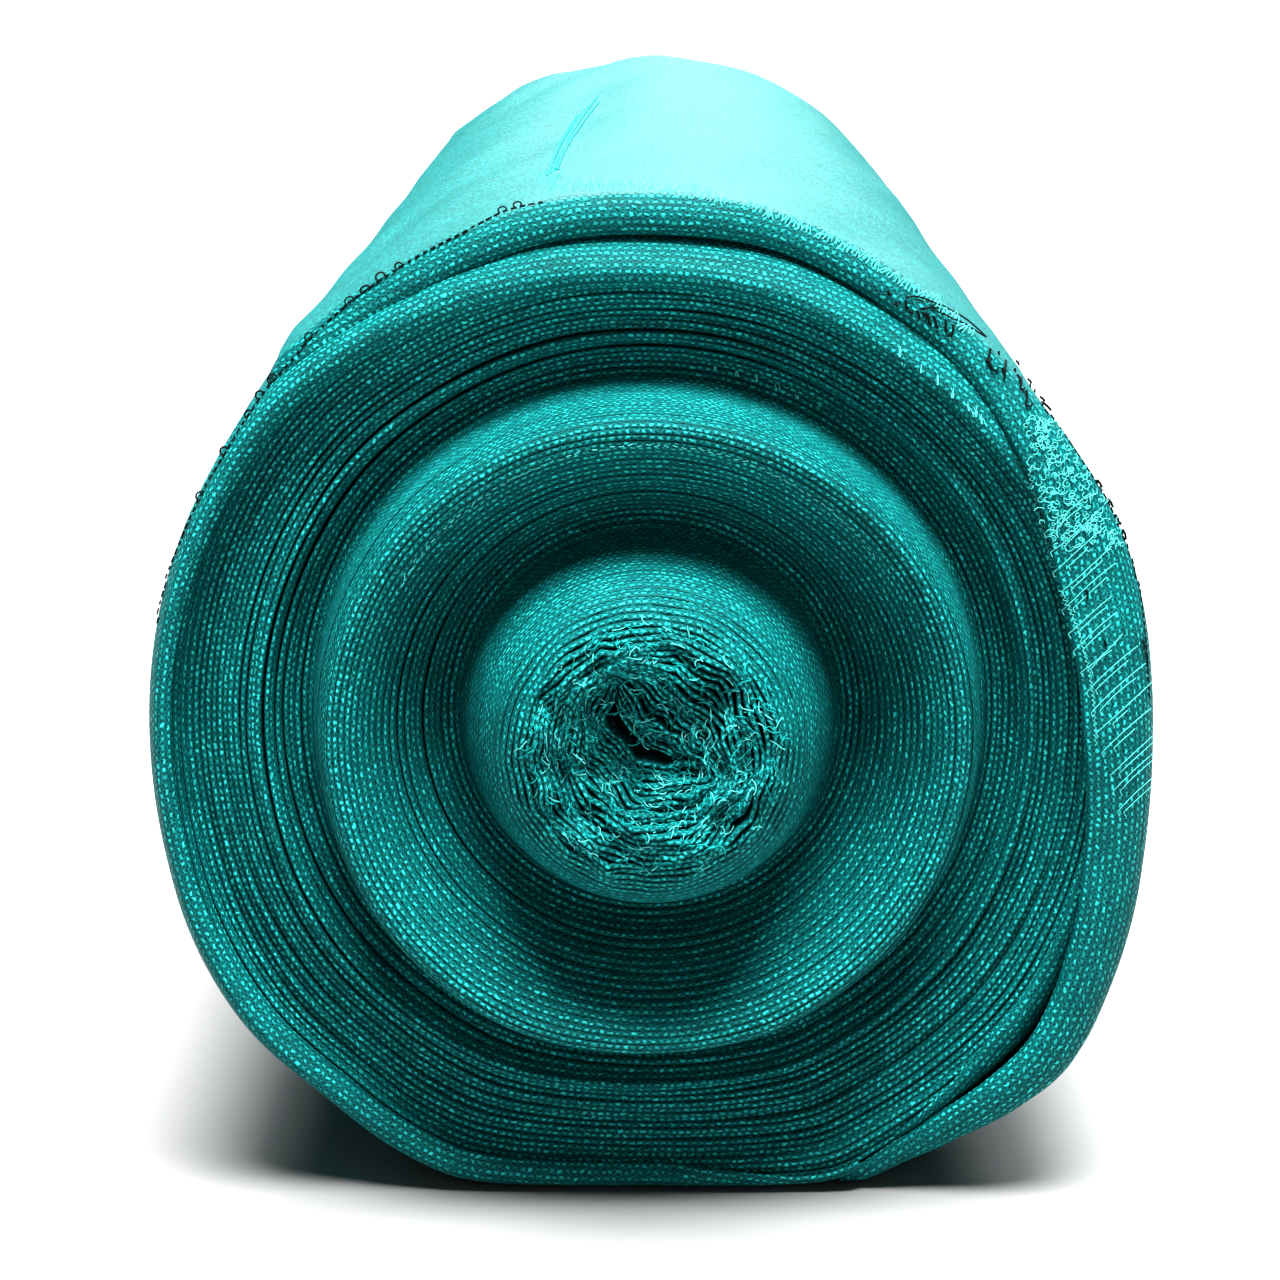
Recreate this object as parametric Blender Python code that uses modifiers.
"""A roll of scaffold debris netting, lying on its side.

The netting is knitted plastic, folded once along its length and wound on itself without a tube.
The turns have slid along each other, so the near end stands out in a nub, a ring and a rim, and
the far end is drawn in by as much. The last turn is slack, and its loose end lies over the top.
Metres, +Z up, the roll along Y with its near end towards -Y, standing on Z = 0.
"""

import math
from collections import namedtuple

import bmesh
import bpy
from mathutils import Vector

# The netting and the roll
FABRIC_WIDTH = 1.000
NOMINAL_RADIUS = 0.135
AXIS_HEIGHT = 0.1315
AROUND = 72
ROUNDER_INSIDE = 4
SMOOTH_BELOW = math.radians(50)

# The near end's lumps die out over this length of the skin, which has rings of points at these places
SETTLED_BY = 0.35
BODY_STATIONS = (0.006, 0.020, 0.050, 0.110, 0.190, 0.280, 0.450, 0.640, 0.820, 0.940, 0.988)

# Outer radius of the wound turns against the clock angle in degrees, anticlockwise from +X
Outline = namedtuple("Outline", "clock near far")
OUTLINE = (
    Outline(0, 0.1295, 0.1300),
    Outline(20, 0.1305, 0.1300),
    Outline(45, 0.1290, 0.1305),
    Outline(60, 0.1285, 0.1310),
    Outline(75, 0.1300, 0.1310),
    Outline(90, 0.1305, 0.1305),
    Outline(101, 0.1318, 0.1295),
    Outline(111, 0.1318, 0.1310),
    Outline(122, 0.1322, 0.1325),
    Outline(138, 0.1358, 0.1340),
    Outline(152, 0.1350, 0.1345),
    Outline(180, 0.1350, 0.1340),
    Outline(195, 0.1365, 0.1335),
    Outline(207, 0.1392, 0.1340),
    Outline(219, 0.1404, 0.1345),
    Outline(230, 0.1388, 0.1340),
    Outline(240, 0.1402, 0.1345),
    Outline(250, 0.1400, 0.1395),
    Outline(270, 0.1330, 0.1330),
    Outline(290, 0.1402, 0.1400),
    Outline(300, 0.1385, 0.1365),
    Outline(311, 0.1380, 0.1338),
    Outline(321, 0.1378, 0.1330),
    Outline(332, 0.1350, 0.1320),
    Outline(346, 0.1318, 0.1308),
)

# How far the turns stand out of the near end, from the middle of the roll to its skin
Turn = namedtuple("Turn", "share stands_out sways")
TURNS = (
    Turn(0.050, 0.0500, 0.000),
    Turn(0.110, 0.0540, 0.000),
    Turn(0.170, 0.0575, 0.000),
    Turn(0.225, 0.0570, 0.001),
    Turn(0.275, 0.0510, 0.001),
    Turn(0.320, 0.0380, 0.001),
    Turn(0.352, 0.0200, 0.001),
    Turn(0.378, 0.0020, 0.001),
    Turn(0.405, -0.0020, 0.000),
    Turn(0.445, 0.0060, 0.001),
    Turn(0.500, 0.0190, 0.002),
    Turn(0.552, 0.0300, 0.002),
    Turn(0.595, 0.0360, 0.003),
    Turn(0.632, 0.0345, 0.003),
    Turn(0.655, 0.0210, 0.002),
    Turn(0.672, 0.0020, 0.001),
    Turn(0.700, -0.0050, 0.001),
    Turn(0.745, -0.0005, 0.001),
    Turn(0.770, 0.0060, 0.002),
    Turn(0.795, 0.0035, 0.002),
    Turn(0.840, 0.0085, 0.001),
    Turn(0.880, 0.0110, 0.001),
    Turn(0.920, 0.0150, 0.001),
    Turn(0.955, 0.0125, 0.001),
    Turn(0.982, 0.0075, 0.000),
    Turn(1.000, 0.0000, 0.000),
)

# A bundle of turns leans its own way, with this many waves round the roll
SWAY_WAVES = 2
SWAY_TWIST = 9.0

# The first turns were crushed flat: hollows and, where the depth is negative, a lobe
Crush = namedtuple("Crush", "x z depth reach")
CRUSHES = (
    Crush(-0.0040, 0.0040, 0.0060, 0.0110),
    Crush(-0.0160, -0.0080, 0.0040, 0.0100),
    Crush(0.0150, 0.0130, 0.0035, 0.0090),
    Crush(0.0080, -0.0190, -0.0050, 0.0110),
)

# The bent slot between the first two folds, as seen from the near end
Slot = namedtuple("Slot", "along x z")
SLOT = (
    Slot(0, -0.0090, 0.0135),
    Slot(1, -0.0072, 0.0060),
    Slot(2, -0.0036, 0.0002),
    Slot(3, 0.0035, -0.0020),
    Slot(4, 0.0117, 0.0003),
)
SLOT_WIDTH = 0.0028
SLOT_BOTTOM = -0.0330
SLOT_MOUTH = -0.0800
SLOT_STEPS = 20

# The loose end of the last turn, two plies of netting: how it lifts off the turns at each end,
# stands out past them and turns in over them
LOOSE_THICKNESS = 0.0025
LEAST_LIFT = 0.0008
Loose = namedtuple("Loose", "clock lift_near lift_far stands_out turns_in")
LOOSE = (
    Loose(-65, 0.0010, 0.0010, 0.006, 0.002),
    Loose(-54, 0.0030, 0.0012, 0.010, 0.005),
    Loose(-41, 0.0078, 0.0030, 0.014, 0.008),
    Loose(-28, 0.0065, 0.0022, 0.019, 0.012),
    Loose(-12, 0.0035, 0.0012, 0.022, 0.016),
    Loose(5, 0.0030, 0.0008, 0.023, 0.018),
    Loose(20, 0.0030, 0.0006, 0.021, 0.015),
    Loose(34, 0.0025, 0.0006, 0.018, 0.009),
    Loose(50, 0.0025, 0.0006, 0.010, 0.004),
    Loose(66, 0.0045, 0.0006, 0.007, 0.003),
    Loose(80, 0.0080, 0.0010, 0.006, 0.003),
    Loose(92, 0.0085, 0.0014, 0.006, 0.003),
    Loose(106, 0.0062, 0.0010, 0.006, 0.003),
    Loose(115, 0.0048, 0.0010, 0.006, 0.003),
    Loose(123, 0.0034, 0.0010, 0.006, 0.003),
    Loose(131, 0.0016, 0.0008, 0.006, 0.003),
    Loose(138, 0.0010, 0.0008, 0.006, 0.003),
)

# The turned-in edge's section, in shares of what turns in and of what stands out
Lip = namedtuple("Lip", "inward outward")
LIP = (Lip(1.00, 1.00), Lip(0.55, 0.99), Lip(0.20, 0.86), Lip(0.03, 0.62), Lip(0.00, 0.25))
LIP_ROOT = 0.012

NETTING_COLOUR = (0.0, 0.42, 0.37, 1.0)
NETTING_ROUGHNESS = 0.55


def read_table(rows, column, at, period=0.0):
    """The smooth value of a table's column between its rows, keyed by the rows' first column."""
    keys = [row[0] for row in rows]
    values = [getattr(row, column) for row in rows]
    if period:
        keys = [keys[-1] - period, *keys, keys[0] + period, keys[1] + period]
        values = [values[-1], *values, values[0], values[1]]
        at = (at - keys[1]) % period + keys[1]
    at = min(max(at, keys[0]), keys[-1])
    last = len(keys) - 1
    i = min(max(k for k in range(last) if keys[k] <= at), last - 1)
    span = keys[i + 1] - keys[i]
    before, after = max(i - 1, 0), min(i + 2, last)
    slope_in = (values[i + 1] - values[before]) / (keys[i + 1] - keys[before]) * span
    slope_out = (values[after] - values[i]) / (keys[after] - keys[i]) * span
    t = (at - keys[i]) / span
    return (
        (2 * t**3 - 3 * t**2 + 1) * values[i]
        + (t**3 - 2 * t**2 + t) * slope_in
        + (3 * t**2 - 2 * t**3) * values[i + 1]
        + (t**3 - t**2) * slope_out
    )


def turn_radius(clock, y, share=1.0):
    """Radius of a turn at a clock angle, y metres behind the near end.

    The skin lies flat on the floor, and the turns get rounder towards the middle.
    """
    t = min(max(y / SETTLED_BY, 0.0), 1.0)
    settled = t * t * (3 - 2 * t)
    near = read_table(OUTLINE, "near", clock, 360.0)
    far = read_table(OUTLINE, "far", clock, 360.0)
    skin = near + (far - near) * settled
    down = -math.sin(math.radians(clock))
    if down > 0:
        skin = min(skin, AXIS_HEIGHT / down)
    return share * (NOMINAL_RADIUS + (skin - NOMINAL_RADIUS) * share**ROUNDER_INSIDE)


def on_roll(clock, radius, y):
    """The point at a clock angle and radius about the winding's axis."""
    angle = math.radians(clock)
    return Vector((radius * math.cos(angle), y, AXIS_HEIGHT + radius * math.sin(angle)))


def material(name):
    made = bpy.data.materials.new(name)
    made.use_nodes = True
    shader = made.node_tree.nodes["Principled BSDF"]
    shader.inputs["Base Color"].default_value = NETTING_COLOUR
    shader.inputs["Roughness"].default_value = NETTING_ROUGHNESS
    shader.inputs["Metallic"].default_value = 0.0
    return made


def finished(obj, collection, material_name):
    """Links a part, gives it its material and shades its round faces smooth."""
    collection.objects.link(obj)
    obj.data.materials.clear()
    obj.data.materials.append(material(material_name))
    obj.data.shade_smooth()
    obj.data.set_sharp_from_angle(angle=SMOOTH_BELOW)


def roll_profile():
    """Points (radius, y) from the middle of the near end, along the skin, to the far end's middle."""
    near = [(turn.share * NOMINAL_RADIUS, -turn.stands_out) for turn in TURNS]
    skin = [(NOMINAL_RADIUS, y) for y in BODY_STATIONS]
    far = [(radius, y + FABRIC_WIDTH) for radius, y in reversed(near)]
    return near + skin + far


def turned_blank():
    """The roll's ends and skin turned about the Y axis as if it were perfectly round."""
    profile = bpy.data.meshes.new("roll_profile")
    points = [(radius, y, 0.0) for radius, y in roll_profile()]
    edges = [(i, i + 1) for i in range(len(points) - 1)]
    profile.from_pydata(points, edges, [])
    blank = bpy.data.objects.new("roll_blank", profile)
    bpy.context.scene.collection.objects.link(blank)
    screw = blank.modifiers.new("Wind", "SCREW")
    screw.axis = "Y"
    screw.angle = math.radians(360)
    screw.steps = screw.render_steps = AROUND
    screw.use_merge_vertices = True
    screw.merge_threshold = 0.00001
    graph = bpy.context.evaluated_depsgraph_get()
    mesh = bpy.data.meshes.new_from_object(blank.evaluated_get(graph))
    bpy.data.objects.remove(blank)
    return mesh


def crushed(x, z):
    """How deep the crushed first turns lie at a place on the nub's face."""
    depth = 0.0
    for crush in CRUSHES:
        away = math.hypot(x - crush.x, z - crush.z)
        depth += crush.depth * math.exp(-((away / crush.reach) ** 2))
    return depth


def sway(share, clock):
    """How much further a turn stands out at a clock angle than it does all round."""
    amount = read_table(TURNS, "sways", share)
    return amount * math.sin(math.radians(SWAY_WAVES * clock) + SWAY_TWIST * share)


def slot_cutter(collection):
    """A bent strip as thick as the slot, running into the nub from in front of it."""
    shape = bmesh.new()
    bmesh.ops.create_grid(shape, x_segments=SLOT_STEPS, y_segments=1, size=0.5)
    for vertex in shape.verts:
        along = (vertex.co.x + 0.5) * SLOT[-1].along
        y = SLOT_MOUTH if vertex.co.y < 0 else SLOT_BOTTOM
        x, z = read_table(SLOT, "x", along), read_table(SLOT, "z", along)
        vertex.co = (x, y, AXIS_HEIGHT + z)
    mesh = bpy.data.meshes.new("slot_cutter")
    shape.to_mesh(mesh)
    shape.free()
    cutter = bpy.data.objects.new("slot_cutter", mesh)
    collection.objects.link(cutter)
    thick = cutter.modifiers.new("Slot width", "SOLIDIFY")
    thick.thickness = SLOT_WIDTH
    thick.offset = 0.0
    cutter.hide_render = True
    cutter.display_type = "WIRE"
    return cutter


def netting_roll(collection, cutters):
    """The wound turns as one solid: the blank, pressed out of round and flat where it lies."""
    mesh = turned_blank()
    shape = bmesh.new()
    shape.from_mesh(mesh)
    open_ends = [edge for edge in shape.edges if edge.is_boundary]
    caps = bmesh.ops.holes_fill(shape, edges=open_ends, sides=AROUND)["faces"]
    bmesh.ops.poke(shape, faces=caps)
    for vertex in shape.verts:
        x, y, z = vertex.co
        clock = math.degrees(math.atan2(z, x))
        share = math.hypot(x, z) / NOMINAL_RADIUS
        radius = turn_radius(clock, y, share)
        if y < FABRIC_WIDTH / 2:
            y += crushed(x, z)
        vertex.co = on_roll(clock, radius, y - sway(share, clock))
    bmesh.ops.recalc_face_normals(shape, faces=shape.faces)
    shape.to_mesh(mesh)
    shape.free()
    roll = bpy.data.objects.new("netting_roll", mesh)
    finished(roll, collection, "netting")
    slot = roll.modifiers.new("Slot between the first folds", "BOOLEAN")
    slot.operation = "DIFFERENCE"
    slot.object = slot_cutter(cutters)
    return roll


def loose_path(clock):
    """Points (radius, y) of the loose end's inner face, from its turned-in edge to the far end."""
    stands_out = read_table(LOOSE, "stands_out", clock)
    turns_in = read_table(LOOSE, "turns_in", clock)
    lift_near = read_table(LOOSE, "lift_near", clock)
    lift_far = read_table(LOOSE, "lift_far", clock)
    skin = turn_radius(clock, 0.0) + lift_near
    lip = [(skin - row.inward * turns_in, -row.outward * stands_out) for row in LIP]
    far_edge = FABRIC_WIDTH - stands_out - turns_in
    body = []
    for y in (LIP_ROOT, *BODY_STATIONS[1:-1], far_edge):
        fading = max(0.0, 1.0 - y / SETTLED_BY)
        lift = lift_far + (lift_near - lift_far) * fading**2
        body.append((turn_radius(clock, y) + max(lift, LEAST_LIFT), y))
    return lip + body


def loose_end(collection):
    """The slack last turn: a sheet from low on the right, over the top, to its free edge."""
    first, last = LOOSE[0].clock, LOOSE[-1].clock
    rows = round((last - first) * AROUND / 360)
    paths = [loose_path(first + (last - first) * row / rows) for row in range(rows + 1)]
    columns = len(paths[0])
    shape = bmesh.new()
    bmesh.ops.create_grid(shape, x_segments=rows, y_segments=columns - 1, size=0.5)
    for vertex in shape.verts:
        row = round((vertex.co.x + 0.5) * rows)
        radius, y = paths[row][round((vertex.co.y + 0.5) * (columns - 1))]
        vertex.co = on_roll(first + (last - first) * row / rows, radius, y)
    bmesh.ops.recalc_face_normals(shape, faces=shape.faces)
    centre = Vector((0.0, FABRIC_WIDTH / 2, AXIS_HEIGHT))
    middle = min(shape.faces, key=lambda face: abs(face.calc_center_median().y - centre.y))
    if middle.normal.dot(middle.calc_center_median() - centre) < 0:
        bmesh.ops.reverse_faces(shape, faces=shape.faces)
    mesh = bpy.data.meshes.new("loose_end")
    shape.to_mesh(mesh)
    shape.free()
    sheet = bpy.data.objects.new("loose_end", mesh)
    finished(sheet, collection, "loose_netting")
    thick = sheet.modifiers.new("Two plies", "SOLIDIFY")
    thick.thickness = LOOSE_THICKNESS
    thick.offset = 1.0
    thick.use_even_offset = True
    return sheet


def stand_on_origin(parts, cutters):
    """Moves everything so that the origin is on the floor, under the middle of the parts' box."""
    bpy.context.view_layer.update()
    graph = bpy.context.evaluated_depsgraph_get()
    corners = [Vector(corner) for part in parts for corner in part.evaluated_get(graph).bound_box]
    middle_x = (min(c.x for c in corners) + max(c.x for c in corners)) / 2
    middle_y = (min(c.y for c in corners) + max(c.y for c in corners)) / 2
    for obj in (*parts, *cutters):
        obj.location = (-middle_x, -middle_y, 0.0)


def main():
    for obj in list(bpy.data.objects):
        bpy.data.objects.remove(obj)
    collection = bpy.data.collections.new("scaffold_debris_netting")
    cutters = bpy.data.collections.new("cutters")
    bpy.context.scene.collection.children.link(collection)
    bpy.context.scene.collection.children.link(cutters)
    parts = [netting_roll(collection, cutters), loose_end(collection)]
    stand_on_origin(parts, cutters.objects)


main()
